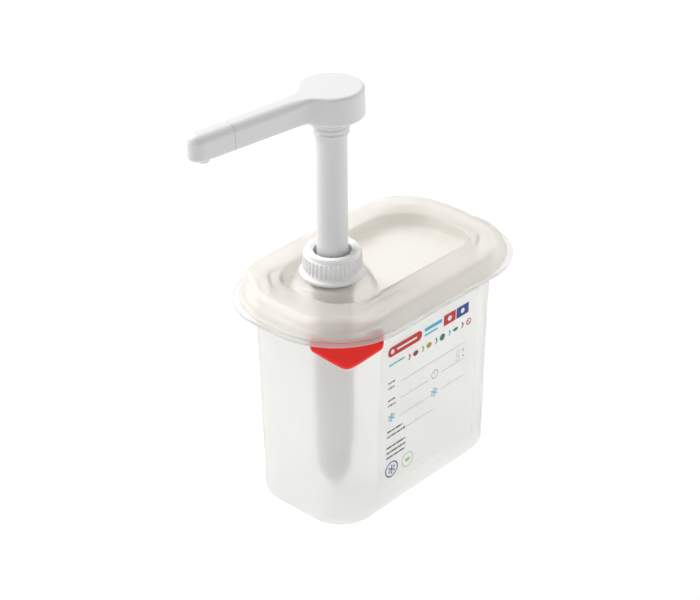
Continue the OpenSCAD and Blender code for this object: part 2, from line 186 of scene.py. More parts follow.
@dataclass(frozen=True)
class Finish:
    """One surface finish and the record's slot it stands for.

    Attributes:
        name: The finish's name.
        slot: The record's material slot. It is not used.
        colour: Linear base colour.
        roughness: Lowest roughness.
        skin: The grain of the surface.
        metallic: 1 for metal.
        transmission: How much light goes through, for translucent plastic.
        ior: Refractive index.
        scatter: Subsurface weight, for plastic that light soaks into.
        alpha: Coverage of a film.
        coat: Weight of a glossy top layer.
        mottle: Depth of the colour's mottling.
        inks: True where the colour comes from the mesh's "ink" attribute.
    """

    name: str
    slot: str
    colour: Colour
    roughness: float
    skin: Skin
    metallic: float = 0.0
    transmission: float = 0.0
    ior: float = 1.49
    scatter: float = 0.0
    alpha: float = 1.0
    coat: float = 0.0
    mottle: float = 0.02
    inks: bool = False

    def material(self) -> bpy.types.Material:
        """Builds the finish's node material once. Its name differs from the record's own slot materials."""
        name = f"finish_{self.name}"
        if name in bpy.data.materials:
            return bpy.data.materials[name]
        material = bpy.data.materials.new(name)
        material.use_nodes = True
        tree = material.node_tree
        shader = tree.nodes["Principled BSDF"]
        grain_scale, grain = GRAIN[self.skin]
        surface = {
            "Color": (*self.colour, 1.0),
            "Mottle": self.mottle,
            "Roughness": self.roughness,
            "Scuff": 0.12 if self.skin is Skin.SATIN else 0.06,
            "Grain Scale": grain_scale,
            "Grain": grain,
        }
        if self.inks:
            ink = add_node(tree, "ShaderNodeAttribute", {}, attribute_name="ink")
            surface["Color"] = ink.outputs["Color"]
        skin = add_node(tree, "ShaderNodeGroup", surface, node_tree=moulded_skin())
        for made, given in (("Color", "Base Color"), ("Roughness", "Roughness"), ("Normal", "Normal")):
            tree.links.new(skin.outputs[made], shader.inputs[given])
        values = {
            "Metallic": self.metallic,
            "IOR": self.ior,
            "Transmission Weight": self.transmission,
            "Subsurface Weight": self.scatter,
            "Subsurface Radius": (1.0, 0.95, 0.9),
            "Subsurface Scale": 0.004,
            "Alpha": self.alpha,
            "Coat Weight": self.coat,
            "Coat Roughness": 0.12,
        }
        for socket, value in values.items():
            shader.inputs[socket].default_value = value
        return material


TUB = Finish(
    "tub_polypropylene", "tub_plastic", (0.99, 0.99, 0.975), 0.32, Skin.CLEAR,
    transmission=0.80, ior=1.10, coat=0.3,
)
LID = Finish(
    "lid_polypropylene", "lid_plastic", (0.99, 0.965, 0.93), 0.34, Skin.CLEAR,
    transmission=0.80, ior=1.10, coat=0.15,
)
FILM = Finish("write_on_film", "label_film", (0.98, 0.98, 0.98), 0.28, Skin.POLISHED, alpha=0.14)
PRINT = Finish("label_ink", "label_film", (0.5, 0.5, 0.5), 0.5, Skin.POLISHED, inks=True, mottle=0.0)
CLIP = Finish("clip_gloss", "clip_red", (0.95, 0.012, 0.006), 0.16, Skin.POLISHED, ior=1.35, mottle=0.04)
WHITE = Finish(
    "white_polypropylene", "pump_white", (0.75, 0.75, 0.75), 0.32, Skin.POLISHED, scatter=0.05, mottle=0.012
)
# The cap is the same white plastic as the rest of the pump, but painted lighter: its brighter colour and
# stronger scatter are painted light that lifts the shade the head casts on it.
CAP_PAINTED_LIGHT = Finish("cap_white_painted_light", "pump_white", (0.96, 0.96, 0.95), 0.36, Skin.POLISHED, scatter=0.16, mottle=0.012)
NATURAL = Finish("natural_polyethylene", "pump_natural", (0.84, 0.845, 0.835), 0.38, Skin.SATIN, scatter=0.1)
RUBBER = Finish("moulded_rubber", "seal_rubber", (0.62, 0.62, 0.60), 0.6, Skin.RUBBER)
SILICONE = Finish("moulded_silicone", "seal_silicone", (0.62, 0.62, 0.60), 0.5, Skin.RUBBER, scatter=0.1)
BALL_STEEL = Finish("polished_ball_steel", "valve_steel", (0.72, 0.72, 0.73), 0.08, Skin.METAL, metallic=1.0)
WIRE_STEEL = Finish("drawn_wire_steel", "spring_steel", (0.60, 0.60, 0.61), 0.22, Skin.METAL, metallic=1.0)


# ---------------------------------------------------------------- mesh helpers


def make_piece(
    name: str, points: np.ndarray, faces: list, finish: Finish, sharp: float = 40.0
) -> bpy.types.Object:
    """Makes a mesh object from millimetre points.

    Args:
        name: The piece's name.
        points: An n by 3 array of places, in millimetres.
        faces: The faces, as tuples of point numbers.
        finish: The finish to dress it in.
        sharp: Edges that bend by more than this many degrees stay sharp.

    Returns:
        The object, at the origin, smooth-shaded.
    """
    mesh = bpy.data.meshes.new(name)
    mesh.from_pydata((np.asarray(points, float) * MM).tolist(), [], faces)
    mesh.materials.append(finish.material())
    piece = bpy.data.objects.new(name, mesh)
    bpy.context.scene.collection.objects.link(piece)
    work = bmesh.new()
    work.from_mesh(mesh)
    bmesh.ops.remove_doubles(work, verts=work.verts, dist=1e-6)
    bmesh.ops.recalc_face_normals(work, faces=work.faces)
    work.to_mesh(mesh)
    work.free()
    mesh.shade_smooth()
    mesh.set_sharp_from_angle(angle=math.radians(sharp))
    return piece


def place_piece(piece: bpy.types.Object, body: str, finish: Finish, *nodes: str) -> bpy.types.Object:
    """Rides a finished piece on its body and hides the CAD nodes it stands for."""
    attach(piece, body)
    if nodes:
        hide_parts(*nodes)
    log.info("%s: %d faces, rides on %s", piece.name, len(piece.data.polygons), body)
    return piece


def rounded(outline: list[tuple[float, float, float]], steps: int = 5) -> list[Point2]:
    """Rounds the corners of an open outline.

    Args:
        outline: Points as (x, y, radius of the corner there).
        steps: How many points each rounded corner takes.

    Returns:
        The outline's points, with an arc in place of each corner that has a radius.
    """
    result: list[Point2] = []
    for i, (x, y, radius) in enumerate(outline):
        if radius <= 0.0 or i in (0, len(outline) - 1):
            result.append((x, y))
            continue
        here = Vector((x, y))
        back = Vector(outline[i - 1][:2]) - here
        ahead = Vector(outline[i + 1][:2]) - here
        half = back.angle(ahead) / 2.0
        cut = min(radius / math.tan(half), 0.49 * back.length, 0.49 * ahead.length)
        start, end = here + back.normalized() * cut, here + ahead.normalized() * cut
        for k in range(steps + 1):
            t = k / steps
            spot = start.lerp(here, t).lerp(here.lerp(end, t), t)
            result.append((spot.x, spot.y))
    return result


def lathe(
    name: str, axis_x: float, outline: list[Point2], finish: Finish, turns: int = 128
) -> bpy.types.Object:
    """Turns an outline of (radius, height) about a vertical axis.

    Args:
        name: The piece's name.
        axis_x: Where the axis stands, in millimetres along X.
        outline: The section, in millimetres. Its last point joins its first.
        finish: The finish to dress it in.
        turns: How many steps go round.

    Returns:
        The turned piece.
    """
    n = len(outline)
    section = np.array(outline)
    angles = np.linspace(0.0, 2.0 * math.pi, turns, endpoint=False)
    ring = np.stack([np.cos(angles), np.sin(angles)], -1)
    points = np.zeros((turns, n, 3))
    points[:, :, :2] = ring[:, None, :] * section[None, :, :1]
    points[:, :, 0] += axis_x
    points[:, :, 2] = section[None, :, 1]
    faces = []
    for i in range(turns):
        j = (i + 1) % turns
        for k in range(n):
            m = (k + 1) % n
            faces.append((i * n + k, j * n + k, j * n + m, i * n + m))
    return make_piece(name, points.reshape(-1, 3), faces, finish)


def soft_max(a: np.ndarray, b: Size, radius: Size) -> np.ndarray:
    """The larger of two fields, with the edge between them rounded to a radius."""
    u = np.maximum(radius + a, 0.0)
    v = np.maximum(radius + b, 0.0)
    return np.minimum(-radius, np.maximum(a, b)) + np.sqrt(u * u + v * v)


def soft_min(a: np.ndarray, b: np.ndarray, radius: float) -> np.ndarray:
    """The smaller of two fields, with the inner corner between them filled to a radius."""
    return -soft_max(-a, -b, radius)


def smooth_step(low: float, high: float, value: np.ndarray) -> np.ndarray:
    """0 below low, 1 above high, and a smooth ramp between."""
    t = np.clip((value - low) / (high - low), 0.0, 1.0)
    return t * t * (3.0 - 2.0 * t)


def round_rect_field(x: np.ndarray, y: np.ndarray, half_l: Size, half_w: Size, radius: Size) -> np.ndarray:
    """Signed distance to a rounded rectangle, negative inside. Sizes may change over the grid."""
    u = np.abs(x) - half_l + radius
    v = np.abs(y) - half_w + radius
    return np.minimum(np.maximum(u, v), 0.0) + np.hypot(np.maximum(u, 0.0), np.maximum(v, 0.0)) - radius


def field_surface(shape: Field, low: tuple, high: tuple, step: float) -> tuple[np.ndarray, list]:
    """Meshes the surface where a field is zero, with one point per crossed cell.

    Args:
        shape: A field that is negative inside the solid.
        low: Lowest corner of the space to search, in millimetres.
        high: Highest corner of that space.
        step: Size of a cell.

    Returns:
        The points, drawn on to the surface, and the quads between them.
    """
    axes = [np.arange(a, b + step, step) for a, b in zip(low, high)]
    value = shape(*np.meshgrid(*axes, indexing="ij")).astype(np.float32)
    inside = value < 0.0
    cells = tuple(s - 1 for s in value.shape)
    total = np.zeros((*cells, 3), np.float32)
    crossings = np.zeros(cells, np.float32)
    corner = np.stack(np.meshgrid(*[np.arange(c) for c in cells], indexing="ij"), -1)
    pairs = []
    for axis in range(3):
        for i in (0, 1):
            for j in (0, 1):
                start = [i, i, i]
                others = [k for k in range(3) if k != axis]
                start[axis], start[others[0]], start[others[1]] = 0, i, j
                end = list(start)
                end[axis] = 1
                pairs.append((axis, tuple(start), tuple(end)))
    for axis, start, end in pairs:
        cut = [tuple(slice(o, o + c) for o, c in zip(offset, cells)) for offset in (start, end)]
        a, b = value[cut[0]], value[cut[1]]
        crossed = (a < 0.0) != (b < 0.0)
        share = np.where(crossed, a / np.where(crossed, a - b, 1.0), 0.0)
        for k in range(3):
            total[..., k] += np.where(crossed, start[k] + (share if k == axis else 0.0), 0.0)
        crossings += crossed
    used = crossings > 0
    number = -np.ones(cells, np.int64)
    number[used] = np.arange(int(used.sum()))
    points = (corner[used] + total[used] / crossings[used][:, None]) * step + np.array(low)
    quads = []
    for axis in range(3):
        one, two = [k for k in range(3) if k != axis]
        here = [slice(1, c) for c in value.shape]
        here[axis] = slice(0, value.shape[axis] - 1)
        there = list(here)
        there[axis] = slice(1, value.shape[axis])
        a, b = inside[tuple(here)], inside[tuple(there)]
        spots = np.argwhere(a != b)
        spots[:, one] += 1
        spots[:, two] += 1
        fits = (spots[:, one] < cells[one]) & (spots[:, two] < cells[two]) & (spots[:, axis] < cells[axis])
        spots = spots[fits]
        around = []
        for back_one, back_two in ((1, 1), (0, 1), (0, 0), (1, 0)):
            cell = spots.copy()
            cell[:, one] -= back_one
            cell[:, two] -= back_two
            around.append(number[tuple(cell.T)])
        quads.append(np.stack(around, -1))
    faces = np.concatenate(quads)
    faces = faces[(faces >= 0).all(1)]
    # Two Newton steps draw each point on to the surface itself
    for _ in range(2):
        h = 0.02
        here = shape(*points.T)
        slope = np.stack([(shape(*(points + h * e).T) - here) / h for e in np.eye(3)], -1)
        move = -here[:, None] * slope / np.maximum((slope**2).sum(1), 0.05)[:, None]
        points = points + np.clip(move, -0.5 * step, 0.5 * step)
    return points, faces.tolist()


def carve_piece(
    name: str, node: str, shape: Field, finish: Finish, step: float, margin: float, sharp: float,
    bottom: float | None = None,
) -> bpy.types.Object:
    """Makes a piece from the surface of a field, searched for round a CAD node's box.

    Args:
        name: The piece's name.
        node: The CAD node whose box is searched.
        shape: A field that is negative inside the solid.
        finish: The finish to dress it in.
        step: Size of a cell.
        margin: How far past the box to search.
        sharp: Edges that bend by more than this many degrees stay sharp.
        bottom: The lowest height to search from, where it isn't the box's own.

    Returns:
        The piece.
    """
    low, high = ([v / MM for v in corner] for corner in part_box(node))
    if bottom is not None:
        low[2] = bottom
    start, end = tuple(v - margin for v in low), tuple(v + margin for v in high)
    points, faces = field_surface(shape, start, end, step)
    return make_piece(name, points, faces, finish, sharp=sharp)


def round_rect_outline(left: float, right: float, low: float, high: float, radius: float) -> list[Point2]:
    """The outline of a rounded rectangle, anticlockwise from its right-hand side."""
    quarter_steps = 6
    x0, x1, z0, z1 = left + radius, right - radius, low + radius, high - radius
    outline = []
    for quarter, (cx, cz) in enumerate(((x1, z1), (x0, z1), (x0, z0), (x1, z0))):
        for i in range(quarter_steps + 1):
            a = math.radians(90.0 * (quarter + i / quarter_steps))
            outline.append((cx + radius * math.cos(a), cz + radius * math.sin(a)))
    return outline


# ---------------------------------------------------------------- geometry nodes


class NodeShape:
    """A Geometry Nodes tree built in the script, with named inputs, turned into a plain mesh."""

    def __init__(self, name: str, inputs: dict[str, tuple[str, float]]) -> None:
        """Makes the tree and its sockets.

        Args:
            name: The tree's name.
            inputs: Socket name to its kind and default value.
        """
        self.tree = bpy.data.node_groups.new(name, "GeometryNodeTree")
        self.sockets: dict[str, str] = {}
        for socket, (kind, value) in inputs.items():
            made = self.tree.interface.new_socket(socket, in_out="INPUT", socket_type=kind)
            if value is not None:
                made.default_value = value
            self.sockets[socket] = made.identifier
        self.tree.interface.new_socket("Geometry", in_out="OUTPUT", socket_type="NodeSocketGeometry")
        self.given = self.tree.nodes.new("NodeGroupInput")
        self.result = self.tree.nodes.new("NodeGroupOutput")

    def node(self, kind: str, **values) -> bpy.types.Node:
        """Adds a node. Values that name a socket set or link it, and others set the node's properties."""
        made = self.tree.nodes.new(kind)
        for key, value in values.items():
            if hasattr(made, key):
                setattr(made, key, value)
        for key, value in values.items():
            if key in made.inputs.keys():
                if isinstance(value, bpy.types.NodeSocket):
                    self.tree.links.new(value, made.inputs[key])
                else:
                    made.inputs[key].default_value = value
        return made

    def close(self, geometry: bpy.types.NodeSocket) -> None:
        """Ends the tree in Realize Instances and Set Material."""
        real = self.node("GeometryNodeRealizeInstances", Geometry=geometry)
        material = self.given.outputs["Material"]
        dressed = self.node("GeometryNodeSetMaterial", Geometry=real.outputs[0], Material=material)
        self.tree.links.new(dressed.outputs[0], self.result.inputs[0])

    def plain(self, name: str, finish: Finish, **values: float) -> bpy.types.Object:
        """Runs the tree with these input values and keeps the result as a plain mesh.

        Args:
            name: The piece's name.
            finish: The finish to dress it in.
            **values: Input values, with spaces in their names written as underscores.

        Returns:
            A mesh object with no modifier on it.
        """
        holder = bpy.data.objects.new(name, bpy.data.meshes.new(name))
        bpy.context.scene.collection.objects.link(holder)
        modifier = holder.modifiers.new("shape", "NODES")
        modifier.node_group = self.tree
        for key, value in values.items():
            modifier[self.sockets[key.replace("_", " ")]] = value
        modifier[self.sockets["Material"]] = finish.material()
        bpy.context.view_layer.update()
        evaluated = holder.evaluated_get(bpy.context.evaluated_depsgraph_get())
        mesh = bpy.data.meshes.new_from_object(evaluated)
        holder.modifiers.clear()
        holder.data = mesh
        mesh.name = name
        mesh.shade_smooth()
        mesh.set_sharp_from_angle(angle=math.radians(45.0))
        return holder


def rib_ring() -> NodeShape:
    """A ring of upright ribs that lean with a cap's wall.

    Returns:
        A tree with inputs Count, Radius, Height, Low, Width, Depth, Lean, Centre X and Material.
    """
    shape = NodeShape(
        "rib_ring",
        {
            "Count": ("NodeSocketInt", 60),
            "Radius": ("NodeSocketFloat", 0.017),
            "Height": ("NodeSocketFloat", 0.01),
            "Low": ("NodeSocketFloat", 0.0),
            "Width": ("NodeSocketFloat", 0.0008),
            "Depth": ("NodeSocketFloat", 0.0008),
            "Lean": ("NodeSocketFloat", 0.0),
            "Centre X": ("NodeSocketFloat", 0.0),
            "Material": ("NodeSocketMaterial", None),
        },
    )
    given = shape.given.outputs
    size = shape.node("ShaderNodeCombineXYZ", X=given["Depth"], Y=given["Width"], Z=given["Height"])
    # A rib is a rod with a rounded section, flattened into an ellipse
    rod = shape.node("GeometryNodeMeshCylinder", Vertices=10, Radius=0.5, Depth=1.0)
    rib = shape.node("GeometryNodeTransform", Geometry=rod.outputs["Mesh"], Scale=size.outputs[0])
    lean = shape.node("ShaderNodeCombineXYZ", Y=given["Lean"])
    leant = shape.node("GeometryNodeTransform", Geometry=rib.outputs[0], Rotation=lean.outputs[0])
    circle = shape.node("GeometryNodeMeshCircle", Vertices=given["Count"], Radius=given["Radius"])
    place = shape.node("GeometryNodeInputPosition")
    facing = shape.node("FunctionNodeAlignRotationToVector", axis="X", Vector=place.outputs[0])
    ribs = shape.node(
        "GeometryNodeInstanceOnPoints",
        Points=circle.outputs[0],
        Instance=leant.outputs[0],
        Rotation=facing.outputs[0],
    )
    half = shape.node("ShaderNodeMath", operation="MULTIPLY_ADD")
    shape.tree.links.new(given["Height"], half.inputs[0])
    half.inputs[1].default_value = 0.5
    shape.tree.links.new(given["Low"], half.inputs[2])
    lift = shape.node("ShaderNodeCombineXYZ", X=given["Centre X"], Z=half.outputs[0])
    moved = shape.node("GeometryNodeTransform", Geometry=ribs.outputs[0], Translation=lift.outputs[0])
    shape.close(moved.outputs[0])
    return shape


def coil() -> NodeShape:
    """A compression spring: a helix of round wire.

    Returns:
        A tree with inputs Turns, Radius, Wire, Low, Height, Centre X and Material.
    """
    shape = NodeShape(
        "coil",
        {
            "Turns": ("NodeSocketFloat", 10.0),
            "Radius": ("NodeSocketFloat", 0.009),
            "Wire": ("NodeSocketFloat", 0.0008),
            "Low": ("NodeSocketFloat", 0.0),
            "Height": ("NodeSocketFloat", 0.09),
            "Centre X": ("NodeSocketFloat", 0.0),
            "Material": ("NodeSocketMaterial", None),
        },
    )
    given = shape.given.outputs
    helix = shape.node(
        "GeometryNodeCurveSpiral", Resolution=40, Rotations=given["Turns"], Height=given["Height"]
    )
    for radius in ("Start Radius", "End Radius"):
        shape.tree.links.new(given["Radius"], helix.inputs[radius])
    wire = shape.node("GeometryNodeCurvePrimitiveCircle", Resolution=10, Radius=given["Wire"])
    tube = shape.node("GeometryNodeCurveToMesh", Curve=helix.outputs[0])
    shape.tree.links.new(wire.outputs[0], tube.inputs["Profile Curve"])
    tube.inputs["Fill Caps"].default_value = True
    lift = shape.node("ShaderNodeCombineXYZ", X=given["Centre X"], Z=given["Low"])
    moved = shape.node("GeometryNodeTransform", Geometry=tube.outputs[0], Translation=lift.outputs[0])
    shape.close(moved.outputs[0])
    return shape


# ---------------------------------------------------------------- the tub


@dataclass
class Tub:
    """The tapered tub with its rim, and the label on its long side. Sizes in millimetres."""

    base_half: Point2 = (71.2, 38.4)
    base_r: float = 23.4
    draft: float = 2.4
    foot_round: float = 2.8
    wall: float = 1.7
    floor: float = 2.2
    rim_half: Point2 = (88.0, 54.0)
    rim_r: float = 41.0
    clip_corner_r: float = 48.0
    rim_under: float = 131.0
    rim_top: float = 134.2
    bead_half: Point2 = (76.5, 44.0)
    bead_r: float = 34.0
    bead_h: float = 4.0
    centre_r: float = 2.0
    foot_rise: float = 0.8
    round_steps: int = 8
    corner_steps: int = 24
    side_steps: int = 10

    # The bead's section from its outside to its inside: how far in, and how high as a share of its height
    bead_section: tuple[Point2, ...] = (
        (0.0, 0.125),
        (0.05, 0.8),
        (0.35, 0.95),
        (0.9, 1.0),
        (1.45, 0.95),
        (1.75, 0.8),
        (1.8, 0.15),
        (2.3, 0.0),
    )

    def ring(self, half: Point2, radii: tuple[float, float, float, float], z: float) -> np.ndarray:
        """One closed ring of the tub's skin.

        Args:
            half: Half length and half width.
            radii: Corner radii, anticlockwise from +X +Y.
            z: Height of the ring.

        Returns:
            The ring's points. Every ring has the same number.
        """
        corners = ((1, 1), (-1, 1), (-1, -1), (1, -1))
        points = []
        for k, (sx, sy) in enumerate(corners):
            r = radii[k]
            cx, cy = sx * (half[0] - r), sy * (half[1] - r)
            for i in range(self.corner_steps + 1):
                a = math.radians(90.0 * (k + i / self.corner_steps))
                points.append((cx + r * math.cos(a), cy + r * math.sin(a), z))
            after = corners[(k + 1) % 4]
            nr = radii[(k + 1) % 4]
            na = math.radians(90.0 * (k + 1))
            nx = after[0] * (half[0] - nr) + nr * math.cos(na)
            ny = after[1] * (half[1] - nr) + nr * math.sin(na)
            x0, y0, _ = points[-1]
            for i in range(1, self.side_steps):
                t = i / self.side_steps
                points.append((x0 + (nx - x0) * t, y0 + (ny - y0) * t, z))
        return np.array(points)

    def wall_ring(self, inset: float, z: float) -> np.ndarray:
        """A ring on the drafted wall, moved inwards by an inset."""
        grow = self.draft * z / self.rim_under - inset
        r = self.base_r + grow
        return self.ring((self.base_half[0] + grow, self.base_half[1] + grow), (r, r, r, r), z)

    def rim_ring(self, inset: float, z: float) -> np.ndarray:
        """A ring on the rim's outline, moved inwards by an inset. The clip's corner is rounder."""
        r, c = self.rim_r - inset, self.clip_corner_r - inset
        return self.ring((self.rim_half[0] - inset, self.rim_half[1] - inset), (r, r, c, r), z)

    def bead_ring(self, inset: float, z: float) -> np.ndarray:
        """A ring on the sealing bead that stands on the rim."""
        r = self.bead_r - inset
        return self.ring((self.bead_half[0] - inset, self.bead_half[1] - inset), (r, r, r, r), z)

    def shell_rings(self) -> list[np.ndarray]:
        """All rings of the skin, from the middle of the base, over the rim, to the middle of the floor."""
        edge, top = self.rim_under, self.rim_top
        rings = [self.wall_ring(self.base_r - self.centre_r, self.foot_rise)]
        rings.append(self.wall_ring(self.foot_round + 6.0, self.foot_rise))
        rings.append(self.wall_ring(self.foot_round + 4.0, 0.0))
        for i in range(self.round_steps + 1):
            a = math.radians(90.0 * i / self.round_steps)
            inset, rise = self.foot_round * (1.0 - math.sin(a)), self.foot_round * (1.0 - math.cos(a))
            rings.append(self.wall_ring(inset, rise))
        rings += [self.wall_ring(0.0, z) for z in np.linspace(self.foot_round + 6.0, edge - 4.0, 14)]
        # Under the rim, round its edge, and in to the bead
        rings += [self.wall_ring(-0.6 * t * t, edge - 3.0 + 3.0 * t) for t in (0.0, 0.5, 1.0)]
        rings += [self.rim_ring(inset, edge) for inset in (8.0, 2.6, 2.2, 0.5)]
        rings += [self.rim_ring(inset, edge + rise) for inset, rise in ((0.1, 0.35), (0.0, 1.0))]
        rings += [self.rim_ring(inset, top - drop) for inset, drop in ((0.0, 0.9), (0.2, 0.25), (0.8, 0.0))]
        rings.append(self.bead_ring(-0.6, top))
        rings += [self.bead_ring(inset, top + share * self.bead_h) for inset, share in self.bead_section]
        # Over the inner edge, down the inside, and in to the middle of the floor
        rings += [self.wall_ring(self.wall - 1.2, top), self.wall_ring(self.wall - 0.3, top - 0.5)]
        rings += [self.wall_ring(self.wall, z) for z in np.linspace(top - 1.6, self.foot_round + 3.0, 14)]
        inner_round = self.foot_round - self.floor + 1.0
        for i in range(7):
            a = math.radians(90.0 * i / 6)
            inset, rise = inner_round * (1.0 - math.cos(a)), inner_round * (1.0 - math.sin(a))
            rings.append(self.wall_ring(self.wall + inset, self.floor + rise))
        rings.append(self.wall_ring(self.base_r - self.centre_r, self.floor))
        return rings

    def build_shell(self) -> bpy.types.Object:
        """Lofts the tub's skin through its rings.

        Returns:
            The closed shell of the tub.
        """
        rings = self.shell_rings()
        n = len(rings[0])
        faces = [tuple(range(n - 1, -1, -1))]
        for i in range(len(rings) - 1):
            for k in range(n):
                m = (k + 1) % n
                faces.append((i * n + k, i * n + m, (i + 1) * n + m, (i + 1) * n + k))
        faces.append(tuple((len(rings) - 1) * n + k for k in range(n)))
        shell = make_piece("tub_shell", np.concatenate(rings), faces, TUB, sharp=50.0)
        return place_piece(shell, "tub", TUB, "container")

    def build(self) -> None:
        """Builds the tub."""
        self.build_shell()


# ---------------------------------------------------------------- the label


class Ink(Enum):
    """The colours printed on the label, as linear values."""

    RED = (0.55, 0.012, 0.010)
    BLUE = (0.008, 0.045, 0.28)
    CYAN = (0.05, 0.45, 0.62)
    GREY = (0.10, 0.10, 0.11)
    RULE = (0.30, 0.30, 0.31)
    MAROON = (0.30, 0.03, 0.06)
    OCHRE = (0.42, 0.33, 0.06)
    TEAL = (0.02, 0.27, 0.22)
    GREEN = (0.02, 0.22, 0.07)
    VIOLET = (0.10, 0.05, 0.25)
    LIME = (0.35, 0.65, 0.30)
    WHITE = (0.85, 0.85, 0.85)


@dataclass
class Label:
    """The write-on film and its generic print: blank fields, rules, swatches and icons, with no lettering.

    Places on it are (x, z), in millimetres, and the film lies on the tub's drafted -Y wall.
    """

    tub: Tub
    left: float = -41.0
    right: float = 46.0
    low: float = 15.0
    high: float = 124.0
    corner_r: float = 3.0
    film_gap: float = 0.03
    film_t: float = 0.22
    proud: float = 0.04
    parts: list[tuple[list[Point2], Ink, int]] = field(default_factory=list)

    def on_wall(self, x: float, z: float, out: float) -> tuple[float, float, float]:
        """The place on the wall's outside at (x, z), moved outwards."""
        y = self.tub.base_half[1] + self.tub.draft * z / self.tub.rim_under
        return (x, -y - out, z)

    def add(self, outline: list[Point2], ink: Ink, layer: int = 0) -> None:
        """Adds one printed patch. Higher layers lie over lower ones."""
        self.parts.append((outline, ink, layer))

    def bar(
        self, x0: float, x1: float, z: float, height: float, ink: Ink, radius: float = 0.0, layer: int = 0
    ) -> None:
        """A level bar from x0 to x1 centred on height z, with rounded ends if it has a radius."""
        h = height / 2.0
        if radius <= 0.0:
            self.add([(x0, z - h), (x1, z - h), (x1, z + h), (x0, z + h)], ink, layer)
        else:
            self.add(round_rect_outline(x0, x1, z - h, z + h, radius), ink, layer)

    def disc(self, x: float, z: float, r: float, ink: Ink, layer: int = 0, squash: float = 1.0) -> None:
        """A filled disc or ellipse."""
        angles = [2.0 * math.pi * i / 28 for i in range(28)]
        self.add([(x + r * math.cos(a), z + squash * r * math.sin(a)) for a in angles], ink, layer)

    def hoop(self, x: float, z: float, r: float, width: float, ink: Ink) -> None:
        """A ring drawn as short strokes that join."""
        steps = 32
        for i in range(steps):
            turns = [(2.0 * math.pi * k / steps) for k in (i, i + 1)]
            (ca, sa), (cb, sb) = ((math.cos(a), math.sin(a)) for a in turns)
            inner = r - width
            patch = [
                (x + inner * ca, z + inner * sa),
                (x + r * ca, z + r * sa),
                (x + r * cb, z + r * sb),
                (x + inner * cb, z + inner * sb),
            ]
            self.add(patch, ink)

    def stroke(self, x0: float, z0: float, x1: float, z1: float, width: float, ink: Ink) -> None:
        """A straight stroke between two places."""
        length = math.hypot(x1 - x0, z1 - z0)
        nx, nz = -(z1 - z0) / length * width / 2.0, (x1 - x0) / length * width / 2.0
        self.add([(x0 - nx, z0 - nz), (x1 - nx, z1 - nz), (x1 + nx, z1 + nz), (x0 + nx, z0 + nz)], ink)

    def tick_box(self, x: float, z: float, half: float) -> None:
        """A small empty square to tick."""
        corners = [(x - half, z - half), (x + half, z - half), (x + half, z + half), (x - half, z + half)]
        for k, start in enumerate(corners):
            self.stroke(*start, *corners[(k + 1) % 4], 0.25, Ink.RULE)

    def chevron(self, x: float, z: float, size: float, ink: Ink) -> None:
        """A chevron that points along +X."""
        self.stroke(x - 0.35 * size, z + size, x + 0.35 * size, z, 0.9, ink)
        self.stroke(x + 0.35 * size, z, x - 0.35 * size, z - size, 0.9, ink)

    def snowflake(self, x: float, z: float, r: float, ink: Ink) -> None:
        """Three crossing strokes with short side twigs."""
        for k in range(6):
            a = math.radians(30 + 60 * k)
            self.stroke(x, z, x + r * math.cos(a), z + r * math.sin(a), 0.55, ink)
            mx, mz = x + 0.6 * r * math.cos(a), z + 0.6 * r * math.sin(a)
            for turn in (-50, 50):
                b = a + math.radians(turn)
                self.stroke(mx, mz, mx + 0.35 * r * math.cos(b), mz + 0.35 * r * math.sin(b), 0.4, ink)

    def rule(self, x0: float, x1: float, z: float, ticks: int = 0) -> None:
        """A fine write-on rule with evenly spaced ticks over it."""
        self.stroke(x0, z, x1, z, 0.28, Ink.RULE)
        for k in range(ticks):
            x = x0 + (x1 - x0) * (k + 1) / (ticks + 1)
            self.stroke(x - 0.5, z, x + 0.5, z + 3.2, 0.2, Ink.RULE)

    def caption(self, x0: float, x1: float, z: float, rows: int, ink: Ink = Ink.GREY) -> None:
        """Blank caption bars, each broken into dashes of uneven length."""
        dashes = (0.30, 0.22, 0.38, 0.26)
        for row in range(rows):
            x = x0
            k = row
            while x < x1 - 1.0:
                length = min((x1 - x0) * dashes[k % len(dashes)], x1 - x)
                self.bar(x, x + length - 0.5, z - 3.6 * row, 1.15, ink, radius=0.4)
                x += length
                k += 1

    def draw(self) -> None:
        """Lays out the print, from the top of the label down."""
        self.bar(-34.5, -5.0, 109.4, 6.6, Ink.RED, radius=3.0)
        self.bar(-27.0, -9.5, 109.4, 1.3, Ink.WHITE, radius=0.6, layer=1)
        self.disc(-30.8, 109.4, 1.5, Ink.WHITE, layer=1)
        self.caption(-33.5, -19.5, 100.6, 1, Ink.CYAN)
        self.bar(-2.6, 13.0, 110.8, 2.4, Ink.CYAN, radius=0.5)
        self.bar(-2.6, 9.0, 107.2, 1.2, Ink.CYAN, radius=0.4)
        for x0, x1, ink in ((14.6, 25.4, Ink.RED), (26.2, 37.4, Ink.BLUE)):
            self.bar(x0, x1, 109.2, 7.2, ink)
            self.disc((x0 + x1) / 2.0, 109.2, 1.7, Ink.WHITE, layer=1)
        marks = (
            (Ink.MAROON, Ink.MAROON),
            (Ink.OCHRE, Ink.OCHRE),
            (Ink.TEAL, Ink.GREEN),
            (Ink.CYAN, Ink.GREEN),
            (Ink.VIOLET, Ink.RED),
        )
        for k, (arrow, blob) in enumerate(marks):
            x = -15.6 + 12.0 * k
            self.chevron(x, 98.8, 2.0, arrow)
            if k == len(marks) - 1:
                self.hoop(x + 5.6, 98.8, 2.3, 0.7, blob)
                self.stroke(x + 4.2, 100.2, x + 7.0, 97.4, 0.6, blob)
            else:
                self.disc(x + 5.4, 98.8, 2.3, blob, squash=(0.75, 0.8, 1.0, 0.5)[k])
        self.caption(-33.8, -27.0, 88.6, 2)
        self.rule(-23.0, 36.0, 85.4)
        for z in (80.6, 76.6):
            self.tick_box(29.0, z, 1.4)
            self.disc(34.0, z, 0.6, Ink.GREY)
        self.caption(-33.8, -26.5, 76.4, 2)
        self.rule(-23.0, 2.5, 73.8, ticks=2)
